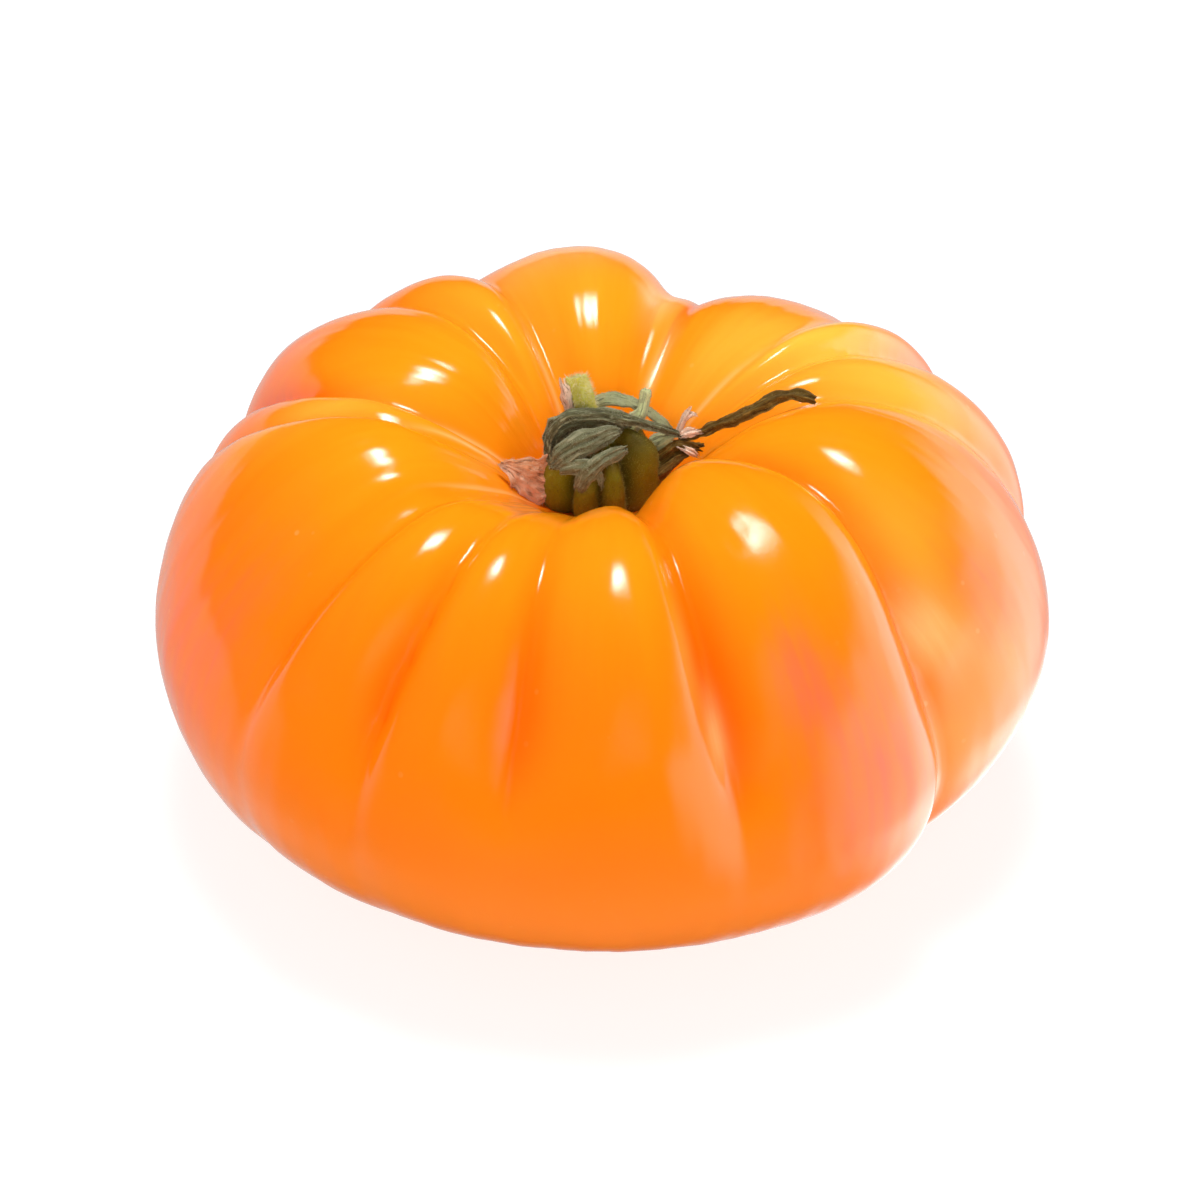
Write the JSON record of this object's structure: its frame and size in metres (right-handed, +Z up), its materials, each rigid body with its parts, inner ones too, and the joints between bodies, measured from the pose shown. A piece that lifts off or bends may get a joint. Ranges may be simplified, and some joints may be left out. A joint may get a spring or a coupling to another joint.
{
  "type": "tomato",
  "caption": "Ribbed orange beefsteak tomato, flattened and deeply lobed, lying on its base with a curled dried calyx and a short stalk stub sunk in the hollow on top",
  "frame": {"origin": "middle of the small flat spot on the base that the fruit rests on", "axes": "+Z up along the core towards the stalk, +X to the right and -Y towards the viewer, the side with the two widest lobe valleys"},
  "size_m": [0.1091, 0.1041, 0.0599],
  "materials": {
    "skin": "smooth glossy waxy skin, orange with a red-pink blush",
    "calyx_flesh": "fleshy olive green, finely hairy",
    "stalk": "pale fuzzy green, matt",
    "sepal_dark": "dried leaf, dark grey-green, matt",
    "sepal_grey": "crumpled leaf, grey-green with pale hairs, matt",
    "sepal_brown": "dried leaf, olive brown, matt",
    "sepal_papery": "papery dry leaf, pinkish brown, thin"
  },
  "bodies": {
    "root": {"tomato_fruit": "skin", "calyx_hub": "calyx_flesh", "stalk_stub": "stalk", "sepal_hood": "sepal_dark", "sepal_upper_fold": "sepal_grey", "sepal_lower_fold": "sepal_grey", "sepal_rear_arch": "sepal_grey", "sepal_upright": "sepal_grey", "sepal_long": "sepal_brown", "sepal_right_twist": "sepal_brown", "sepal_papery": "sepal_papery"}
  },
  "joints": []
}
